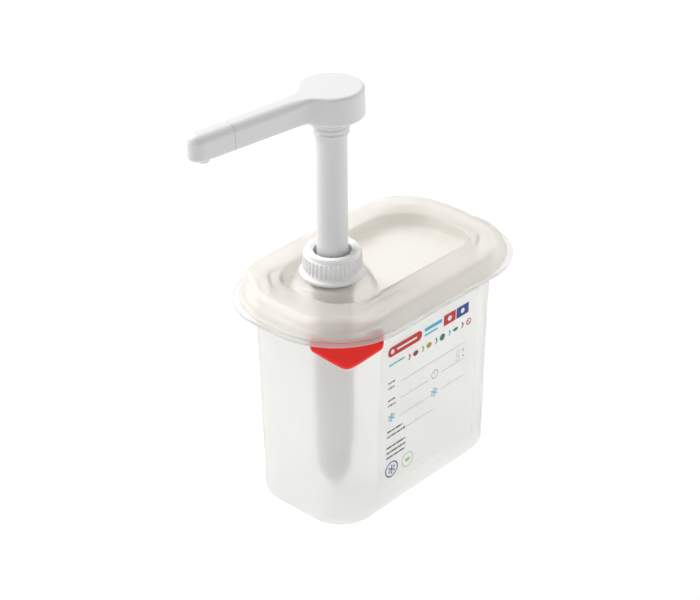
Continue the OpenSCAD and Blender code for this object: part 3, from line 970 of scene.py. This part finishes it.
        self.hoop(8.0, 75.6, 3.0, 0.35, Ink.GREY)
        self.stroke(8.0, 75.6, 8.0, 77.6, 0.3, Ink.GREY)
        self.rule(14.0, 36.0, 74.2)
        self.snowflake(8.0, 62.8, 3.4, Ink.CYAN)
        self.rule(14.0, 36.0, 62.0, ticks=2)
        self.snowflake(-30.6, 64.0, 3.2, Ink.CYAN)
        self.rule(-23.0, 2.5, 61.6, ticks=2)
        self.caption(-34.0, -20.0, 54.4, 2)
        self.disc(-19.0, 51.0, 0.9, Ink.GREY)
        self.rule(-17.0, 9.0, 50.6, ticks=2)
        self.caption(-34.4, -17.0, 43.0, 3)
        self.hoop(-29.4, 26.2, 5.6, 0.8, Ink.BLUE)
        self.snowflake(-29.4, 26.2, 3.4, Ink.BLUE)
        self.hoop(-15.0, 26.0, 5.2, 0.7, Ink.LIME)
        self.disc(-15.0, 26.0, 2.4, Ink.LIME, squash=0.55)

    def build_film(self) -> None:
        """Builds the clear film, a thin sheet with rounded corners."""
        outline = round_rect_outline(self.left, self.right, self.low, self.high, self.corner_r)
        n = len(outline)
        back = [self.on_wall(x, z, self.film_gap) for x, z in outline]
        front = [self.on_wall(x, z, self.film_gap + self.film_t) for x, z in outline]
        faces = [tuple(range(n)), tuple(range(2 * n - 1, n - 1, -1))]
        faces += [(k, (k + 1) % n, n + (k + 1) % n, n + k) for k in range(n)]
        film = make_piece("label_sheet", np.array(back + front), faces, FILM)
        place_piece(film, "tub", FILM, "label_film")

    def build_print(self) -> None:
        """Builds the print as one mesh of thin patches, coloured by its "ink" attribute."""
        points: list[tuple] = []
        faces: list[tuple] = []
        inks: list[Colour] = []
        for outline, ink, layer in self.parts:
            start = len(points)
            out = self.film_gap + self.film_t + self.proud * (1 + layer)
            points += [self.on_wall(x, z, out) for x, z in outline]
            faces.append(tuple(range(start, start + len(outline))))
            inks.append(ink.value)
        mesh = bpy.data.meshes.new("label_print")
        mesh.from_pydata((np.array(points) * MM).tolist(), [], faces)
        for face in mesh.polygons:
            if face.normal.y > 0.0:
                face.flip()
        paint = mesh.attributes.new("ink", "FLOAT_COLOR", "FACE")
        for k, ink in enumerate(inks):
            paint.data[k].color = (*ink, 1.0)
        mesh.materials.append(PRINT.material())
        piece = bpy.data.objects.new("label_print", mesh)
        bpy.context.scene.collection.objects.link(piece)
        place_piece(piece, "tub", PRINT)

    def build(self) -> None:
        """Draws and builds the label."""
        self.draw()
        self.build_film()
        self.build_print()


# ---------------------------------------------------------------- the clip


@dataclass
class CornerClip:
    """The red colour clip under the rim, a triangular tab across the -X -Y corner. Sizes in millimetres."""

    tub: Tub
    top: float = 130.6
    tip: float = 112.8
    front: float = 29.9
    lean: float = -0.14
    centre: float = 3.2
    half_width: float = 20.6
    gap: float = 0.35
    tip_round: float = 2.4
    edge_slope: float = 0.70
    bevel: float = 4.4
    step: float = 0.5

    def shape(self, x: np.ndarray, y: np.ndarray, z: np.ndarray) -> np.ndarray:
        """The clip's field: a leaning front, a V-shaped lower edge and a hollow round the tub's corner."""
        cx = -(self.tub.base_half[0] - self.tub.base_r)
        cy = -(self.tub.base_half[1] - self.tub.base_r)
        root = math.sqrt(0.5)
        outward = -(x - cx) * root - (y - cy) * root
        along = (x - cx) * root - (y - cy) * root - self.centre
        front = outward - self.front + self.lean * (self.top - z)
        low = self.tip - self.tip_round + np.hypot(self.edge_slope * along, self.tip_round) - z
        body = soft_max(front, low * 0.85, self.bevel)
        body = soft_max(body, np.abs(along) - self.half_width, 1.6)
        body = soft_max(body, z - self.top, 0.8)
        grow = self.tub.draft * z / self.tub.rim_under + self.gap
        half_l, half_w = (half + grow for half in self.tub.base_half)
        tub = round_rect_field(x, y, half_l, half_w, self.tub.base_r + grow)
        return soft_max(body, -tub, 0.4)

    def build(self) -> None:
        """Builds the clip."""
        clip = carve_piece("clip_tab", "corner_clip", self.shape, CLIP, self.step, margin=1.0, sharp=60.0)
        place_piece(clip, "clip", CLIP, "corner_clip")


# ---------------------------------------------------------------- the lid


@dataclass
class Lid:
    """The lift-off lid: a stepped slope, a crown, a recess and the pump's boss. Sizes in millimetres."""

    pump_x: float
    half: Point2 = (87.6, 53.6)
    corner_r: float = 48.0
    edge: float = 134.27
    top: float = 145.2
    narrow: float = 0.515
    tighten: float = 1.54
    pocket_x: float = -1.8
    pocket_half: Point2 = (58.0, 28.7)
    pocket_slope: float = 0.19
    pocket_floor: float = 137.4
    boss_r: float = 26.5
    boss_slope: float = 0.447
    boss_top: float = 147.0
    neck_r: float = 14.2
    neck_hole_r: float = 13.15
    neck_top: float = 158.4
    lip_half: Point2 = (65.3, 34.3)
    lip_r: float = 19.3
    lip_t: float = 1.4
    lip_low: float = 125.2
    skin: float = 1.5
    edge_round: float = 1.0
    floor_round: float = 1.3
    boss_fillet: float = 1.4
    step: float = 0.8

    # Radii of the recess's corners at +X +Y, at +X -Y and at both -X corners
    pocket_radii: tuple[float, float, float] = (26.0, 12.0, 21.0)

    # How far the outer wall has moved in at each height, with the small ledge over its edge
    slope_z: tuple[float, ...] = (134.2, 135.4, 135.8, 138.9, 141.8, 144.2, 145.2)
    slope_in: tuple[float, ...] = (0.0, 0.15, 1.1, 3.2, 6.6, 10.6, 13.6)

    def dome(self, x: np.ndarray, y: np.ndarray, z: np.ndarray) -> np.ndarray:
        """The field of the lid's outside, as if it were solid all the way down."""
        inset = np.interp(z, self.slope_z, self.slope_in)
        half_l, half_w = self.half[0] - inset, self.half[1] - self.narrow * inset
        outer = round_rect_field(x, y, half_l, half_w, self.corner_r - self.tighten * inset)
        # Dividing by the slope's steepness keeps the wall's thickness even
        lows, highs = np.array(self.slope_z[:-1]), np.array(self.slope_z[1:])
        rates = np.diff(self.slope_in) / (highs - lows)
        outer = outer / np.hypot(1.0, np.interp(z, (lows + highs) / 2.0, rates))
        crown = soft_max(outer, z - self.top, self.edge_round)
        rise = np.maximum(z - self.pocket_floor, 0.0)
        spread = self.pocket_slope * rise
        far_back, far_front, near = self.pocket_radii
        radius = np.where(x < self.pocket_x, near, np.where(y > 0.0, far_back, far_front))
        half_l, half_w = (half + spread for half in self.pocket_half)
        pocket = round_rect_field(x - self.pocket_x, y, half_l, half_w, radius + spread)
        recess = soft_max(pocket, self.pocket_floor - z, self.floor_round)
        crown = soft_max(crown, -recess, self.edge_round)
        from_axis = np.hypot(x - self.pump_x, y)
        cone = (from_axis - self.boss_r + self.boss_slope * rise) / math.hypot(1.0, self.boss_slope)
        boss = soft_max(cone, z - self.boss_top, self.edge_round)
        return soft_min(crown, boss, self.boss_fillet)

    def shape(self, x: np.ndarray, y: np.ndarray, z: np.ndarray) -> np.ndarray:
        """The field of the lid's thin wall, with its neck, its plug lip and the hole for the pump."""
        dome = self.dome(x, y, z)
        wall = np.maximum(np.maximum(dome, -(dome + self.skin)), self.edge - z)
        lip = np.abs(round_rect_field(x, y, *self.lip_half, self.lip_r)) - self.lip_t / 2.0
        lip = np.maximum(np.maximum(lip, self.lip_low - z), z - self.top + self.skin / 2.0)
        from_axis = np.hypot(x - self.pump_x, y)
        neck = np.maximum(np.maximum(from_axis - self.neck_r, self.boss_top - 2.0 - z), z - self.neck_top)
        solid = np.minimum(np.minimum(wall, lip), neck)
        return np.maximum(solid, self.neck_hole_r - from_axis)

    def build(self) -> None:
        """Builds the lid."""
        shell = carve_piece("lid_shell", "lid", self.shape, LID, self.step, margin=1.5, sharp=70.0)
        place_piece(shell, "lid", LID, "lid")


# ---------------------------------------------------------------- the pump


@dataclass
class ScrewCap:
    """The ribbed cap that holds the pump on the lid's neck. Sizes in millimetres."""

    pump_x: float
    low: float = 149.2
    top: float = 164.9
    skirt_r: float = 19.0
    band_r: float = 16.2
    plate: float = 163.3
    inside_r: float = 15.2
    hole_r: float = 11.1
    rib_count: int = 40
    rib_w: float = 1.15
    rib_d: float = 1.6
    rib_h: float = 9.0
    rib_rise: float = 3.4
    rib_out: float = 0.28
    rib_lean: float = -3.0

    def build(self) -> None:
        """Builds the cap's turned wall and its ring of ribs as one piece."""
        outline = rounded(
            [
                (self.inside_r, self.low + 2.0, 0.0),
                (self.inside_r + 0.3, self.low, 0.2),
                (self.skirt_r, self.low, 0.5),
                (self.skirt_r, self.low + 1.7, 0.5),
                (self.skirt_r - 1.0, self.low + 2.3, 0.4),
                (self.skirt_r - 2.4, self.low + 4.8, 1.6),
                (self.band_r + 0.1, self.low + 12.2, 0.6),
                (self.band_r - 0.5, self.low + 12.9, 0.3),
                (self.band_r - 0.6, self.top, 1.5),
                (self.hole_r + 1.5, self.top, 0.8),
                (self.hole_r + 0.8, self.top - 0.9, 0.4),
                (self.hole_r, self.top - 1.0, 0.3),
                (self.hole_r, self.plate, 0.2),
                (self.inside_r, self.plate, 0.0),
            ]
        )
        wall = lathe("cap_wall", self.pump_x, outline, CAP_PAINTED_LIGHT)
        ribs = rib_ring().plain(
            "cap_ribs",
            CAP_PAINTED_LIGHT,
            Count=self.rib_count,
            Radius=(self.band_r + self.rib_out) * MM,
            Height=self.rib_h * MM,
            Low=(self.low + self.rib_rise) * MM,
            Width=self.rib_w * MM,
            Depth=self.rib_d * MM,
            Lean=math.radians(self.rib_lean),
            Centre_X=self.pump_x * MM,
        )
        for piece in (wall, ribs):
            place_piece(piece, "cap", CAP_PAINTED_LIGHT)
        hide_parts("screw_cap")


@dataclass
class Head:
    """The push head, its arm, the lock thread under it and the separate nozzle tip. Sizes in millimetres.

    The arm is worked out along -X from the pump's axis and then turned to its heading.
    """

    pump_x: float
    heading: float = -6.0
    low: float = 248.0
    top: float = 264.8
    disc_r: float = 19.2
    flare: float = 0.6
    arm_low: float = 250.5
    arm_rise: float = 0.55
    arm_half_w: Point2 = (6.8, 6.2)
    reach: float = 96.8
    joint: float = 71.0
    spout_x: float = 88.0
    spout_r: float = 3.6
    spout_low: float = 248.4
    spout_bore: float = 2.4
    spout_bore_top: float = 256.0
    blend: Point2 = (15.0, 34.0)
    seam: float = 0.12
    seam_gaps: Point2 = (0.04, 0.03)
    step: float = 0.5
    fillet: float = 4.5
    lock_low: float = 235.0
    lock_r: float = 9.55
    lock_crest: Point2 = (10.25, 10.78)
    stem_r: float = 9.1
    lock_pitch: float = 2.9

    def local(self, x: np.ndarray, y: np.ndarray) -> tuple[np.ndarray, np.ndarray]:
        """Turns places in the part's frame into distances along the arm and across it."""
        a = math.radians(self.heading)
        u, v = x - self.pump_x, y
        return -(u * math.cos(a) + v * math.sin(a)), -u * math.sin(a) + v * math.cos(a)

    def form(self, x: np.ndarray, y: np.ndarray, z: np.ndarray) -> np.ndarray:
        """The field of the head and its whole arm, blended by fillets in plan."""
        along, across = self.local(x, y)
        from_axis = np.hypot(along, across)
        disc = from_axis - self.disc_r + self.flare * (z - self.low) / (self.top - self.low)
        half_w = np.interp(along, (18.0, self.reach), self.arm_half_w)
        end = self.reach - self.arm_half_w[1]
        arm = np.hypot(np.maximum(along - end, 0.0) + np.minimum(along, 0.0), across) - half_w
        plan = soft_min(disc, arm, self.fillet)
        out = smooth_step(*self.blend, along)
        body = soft_max(plan, z - self.top - self.arm_rise * out, 1.9 + 2.8 * out)
        past_disc = smooth_step(self.disc_r - 0.8, self.disc_r + 3.0, from_axis)
        under = self.low + (self.arm_low - self.low) * past_disc
        return soft_max(body, under - z, 1.3 + 0.9 * out)

    def head_shape(self, x: np.ndarray, y: np.ndarray, z: np.ndarray) -> np.ndarray:
        """The head and arm as far as the tip's joint."""
        along, _ = self.local(x, y)
        return soft_max(self.form(x, y, z), along - self.joint, self.seam)

    def tip_shape(self, x: np.ndarray, y: np.ndarray, z: np.ndarray) -> np.ndarray:
        """The nozzle tip with its downturned spout."""
        along, across = self.local(x, y)
        inset, gap = self.seam_gaps
        shell = soft_max(self.form(x, y, z) + inset, self.joint + gap - along, self.seam)
        from_spout = np.hypot(along - self.spout_x, across)
        spout = soft_max(from_spout - self.spout_r, self.spout_low - z, 0.5)
        spout = np.maximum(spout, z - self.arm_low - 4.0)
        bore = np.maximum(from_spout - self.spout_bore, z - self.spout_bore_top)
        return soft_max(soft_min(shell, spout, 0.9), -bore, 0.3)

    def build_lock(self) -> None:
        """Builds the threaded neck under the head that locks into the collar."""
        first, last = self.lock_low + 1.8, self.low - 0.8
        outline: list[tuple[float, float, float]] = [
            (self.stem_r, self.lock_low, 0.0),
            (self.stem_r + 0.35, self.lock_low, 0.2),
            (self.lock_r, self.lock_low + 1.4, 0.3),
        ]
        for z in np.arange(first, last, self.lock_pitch):
            crest = float(np.interp(z, (first, last), self.lock_crest))
            ridge = [(self.lock_r, 0.0, 0.2), (crest, 0.8, 0.35), (crest, 1.3, 0.35), (self.lock_r, 2.1, 0.2)]
            outline += [(radius, z + rise, bend) for radius, rise, bend in ridge]
        outline += [(self.lock_r, self.low + 1.0, 0.0), (self.stem_r, self.low + 1.0, 0.0)]
        lock = lathe("lock_thread", self.pump_x, rounded(outline), WHITE)
        place_piece(lock, "plunger", WHITE)

    def build(self) -> None:
        """Builds the head, the lock thread and the nozzle tip."""
        pieces = (
            ("push_head", "head", self.head_shape, self.low),
            ("spout_tip", "nozzle_tip", self.tip_shape, None),
        )
        for name, node, shape, bottom in pieces:
            piece = carve_piece(name, node, shape, WHITE, self.step, margin=1.2, sharp=50.0, bottom=bottom)
            place_piece(piece, "plunger", WHITE, node)
        self.build_lock()


@dataclass
class Pump:
    """The pump's stem, the barrel in the tub and the return spring. Sizes in millimetres.

    Heights are above the tub's base, but the stem's are above its own lower end.
    """

    pump_x: float
    stem_r: float = 9.05
    stem_bore: float = 5.5
    plug_r: float = 6.45
    plug_bore: float = 4.3
    plug_h: float = 9.0
    foot_r: float = 7.5
    foot_bore: float = 5.6
    foot_low: float = 20.0
    foot_top: float = 29.0
    shoulder: float = 31.2
    floor: float = 33.0
    barrel_r: float = 12.0
    barrel_bore: float = 10.4
    barrel_top: float = 137.5
    bell_r: float = 13.0
    bell_bore: float = 12.25
    bell_low: float = 141.0
    bore_top: float = 141.4
    bell_seat: float = 143.4
    flange_r: float = 14.6
    flange_low: float = 159.7
    flange_top: float = 161.25
    spring_turns: float = 10.0
    spring_r: float = 9.0
    spring_wire: float = 0.8
    spring_keep: float = 0.17

    def build_stem(self) -> None:
        """Builds the stem."""
        low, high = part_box("stem")
        z0, z1 = low.z / MM, high.z / MM
        outline = rounded(
            [
                (self.plug_bore, z0, 0.0),
                (self.plug_r, z0, 0.3),
                (self.plug_r, z0 + self.plug_h, 0.0),
                (self.stem_r, z0 + self.plug_h + 0.1, 0.3),
                (self.stem_r, z1, 0.4),
                (self.stem_bore, z1, 0.3),
                (self.stem_bore, z0 + self.plug_h + 0.8, 0.0),
                (self.plug_bore, z0 + self.plug_h - 1.0, 0.0),
            ]
        )
        stem = lathe("stem_tube", self.pump_x, outline, WHITE)
        place_piece(stem, "plunger", WHITE, "stem")

    def build_barrel(self) -> None:
        """Builds the barrel with its bell and flange."""
        outline = rounded(
            [
                (self.foot_bore, self.foot_low, 0.0),
                (self.foot_r, self.foot_low, 0.3),
                (self.foot_r, self.foot_top, 0.6),
                (self.barrel_r, self.shoulder, 1.6),
                (self.barrel_r, self.barrel_top, 2.0),
                (self.bell_r, self.bell_low, 1.0),
                (self.bell_r, self.flange_low, 0.3),
                (self.flange_r, self.flange_low, 0.2),
                (self.flange_r, self.flange_top, 0.2),
                (self.bell_bore, self.flange_top, 0.2),
                (self.bell_bore, self.bell_seat, 0.6),
                (self.barrel_bore, self.bore_top, 0.6),
                (self.barrel_bore, self.floor, 0.8),
                (self.foot_bore, self.floor, 0.4),
            ]
        )
        barrel = lathe("barrel_tube", self.pump_x, outline, NATURAL)
        place_piece(barrel, "lid", NATURAL, "barrel")

    def build_spring(self) -> None:
        """Builds the return spring as a fixed coil; the real one closes up as the pump is pushed."""
        low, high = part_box("pump_spring")
        wire = self.spring_wire * MM
        spring = coil().plain(
            "return_spring",
            WIRE_STEEL,
            Turns=self.spring_turns,
            Radius=self.spring_r * MM,
            Wire=wire,
            Low=low.z + wire,
            Height=high.z - low.z - 2.0 * wire,
            Centre_X=self.pump_x * MM,
        )
        place_piece(spring, "lid", WIRE_STEEL, "pump_spring")
        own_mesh(spring)

    def build(self) -> None:
        """Builds the stem, the barrel and the spring."""
        self.build_stem()
        self.build_barrel()
        self.build_spring()


NODE_FINISH: dict[str, Finish] = {
    "barrel_gasket": RUBBER,
    "collar": WHITE,
    "stem_wiper": SILICONE,
    "foot_valve": NATURAL,
    "foot_oring": RUBBER,
    "ball_cage": NATURAL,
    "inlet_ball": BALL_STEEL,
    "dip_tube": NATURAL,
    "spring_follower": WHITE,
    "cap_washer": NATURAL,
    "piston": NATURAL,
    "piston_seal": SILICONE,
    "outlet_ball": BALL_STEEL,
}


def dress_nodes(nodes: dict[str, bpy.types.Object]) -> None:
    """Gives each CAD node that is kept as it is its own finish.

    Args:
        nodes: Node name to its object.
    """
    for name, finish in NODE_FINISH.items():
        materials = nodes[name].data.materials
        materials.clear()
        materials.append(finish.material())
        log.info("%s: dressed as %s", name, finish.name)


# ---------------------------------------------------------------- camera, floor and light


@dataclass(frozen=True)
class SoftLight:
    """One large soft lamp, placed by the viewer's own directions.

    Attributes:
        name: The lamp's name.
        right: How far to the viewer's right it stands, as a share of its distance.
        up: How far up.
        back: How far behind the object, away from the viewer.
        distance: Its distance from the object, in metres.
        size: Its width, in metres.
        watts: Its power.
    """

    name: str
    right: float
    up: float
    back: float
    distance: float
    size: float
    watts: float

    def build(self, target: Vector, azimuth: float) -> None:
        """Makes the lamp and turns it to the target.

        Args:
            target: The place it shines at, in metres.
            azimuth: The viewer's azimuth, in radians.
        """
        right = Vector((math.cos(azimuth), math.sin(azimuth), 0.0))
        away = Vector((-math.sin(azimuth), math.cos(azimuth), 0.0))
        toward = (right * self.right + away * self.back + Vector((0.0, 0.0, self.up))).normalized()
        data = bpy.data.lights.new(self.name, "AREA")
        data.shape = "SQUARE"
        data.size = self.size
        data.energy = self.watts
        lamp = bpy.data.objects.new(self.name, data)
        lamp.location = target + toward * self.distance
        lamp.rotation_euler = (-toward).to_track_quat("-Z", "Y").to_euler()
        bpy.context.scene.collection.objects.link(lamp)


@dataclass
class Studio:
    """The camera, the pale floor and the soft light."""

    azimuth: float = -47.39
    elevation: float = 30.38
    roll: float = -0.38
    distance: float = 1.177
    lens: float = 100.6
    target: tuple[float, float, float] = (0.0028, 0.0230, 0.1040)
    surround: float = 0.42
    floor_base: float = 0.16
    floor_glow: float = 0.90
    lights: tuple[SoftLight, ...] = (
        SoftLight("key", -0.62, 0.76, 0.34, 1.6, 1.2, 31.0),
        SoftLight("right", 0.85, 0.35, 0.30, 1.5, 0.9, 5.5),
    )

    def build_camera(self) -> None:
        """Makes the camera at the viewing angle."""
        a, e = math.radians(self.azimuth), math.radians(self.elevation)
        back = Vector((math.sin(a) * math.cos(e), -math.cos(a) * math.cos(e), math.sin(e)))
        data = bpy.data.cameras.new("camera")
        data.lens = self.lens
        data.sensor_width = 36.0
        camera = bpy.data.objects.new("camera", data)
        camera.location = Vector(self.target) + back * self.distance
        turn = (-back).to_track_quat("-Z", "Y").to_matrix().to_4x4()
        camera.rotation_euler = (turn @ Matrix.Rotation(math.radians(self.roll), 4, "Z")).to_euler()
        bpy.context.scene.collection.objects.link(camera)
        bpy.context.scene.camera = camera

    def build_floor(self) -> None:
        """Makes the plain pale floor, which glows a little, as a light table does."""
        mesh = bpy.data.meshes.new("floor")
        half = 12.0
        corners = [(-half, -half, 0), (half, -half, 0), (half, half, 0), (-half, half, 0)]
        mesh.from_pydata(corners, [], [(0, 1, 2, 3)])
        material = bpy.data.materials.new("floor_pale")
        material.use_nodes = True
        shader = material.node_tree.nodes["Principled BSDF"]
        shader.inputs["Base Color"].default_value = (self.floor_base, self.floor_base, self.floor_base, 1.0)
        shader.inputs["Roughness"].default_value = 0.9
        shader.inputs["Specular IOR Level"].default_value = 0.0
        shader.inputs["Emission Color"].default_value = (1.0, 1.0, 1.0, 1.0)
        shader.inputs["Emission Strength"].default_value = self.floor_glow
        mesh.materials.append(material)
        floor = bpy.data.objects.new("floor", mesh)
        floor.location.z = -0.0003
        bpy.context.scene.collection.objects.link(floor)

    def build_world(self) -> None:
        """Makes the even white surround."""
        world = bpy.data.worlds.new("surround")
        world.use_nodes = True
        background = world.node_tree.nodes["Background"].inputs
        background["Color"].default_value = (1.0, 1.0, 1.0, 1.0)
        background["Strength"].default_value = self.surround
        bpy.context.scene.world = world
        bpy.context.scene.view_settings.view_transform = "Standard"

    def build(self) -> None:
        """Builds the whole studio."""
        self.build_camera()
        self.build_floor()
        self.build_world()
        for light in self.lights:
            light.build(Vector(self.target), math.radians(self.azimuth))


def main() -> None:
    """Builds the dispenser's looks round its frame, sub-assembly by sub-assembly."""
    logging.basicConfig(level=logging.INFO, format="%(name)s: %(message)s")
    stem_low, stem_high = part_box("stem")
    pump_x = (stem_low.x + stem_high.x) / 2.0 / MM
    Studio().build()
    tub = Tub()
    tub.build()
    Label(tub).build()
    CornerClip(tub).build()
    Lid(pump_x).build()
    ScrewCap(pump_x).build()
    Head(pump_x).build()
    Pump(pump_x).build()
    dress_nodes(frame["nodes"])


if __name__ == "__main__":
    main()
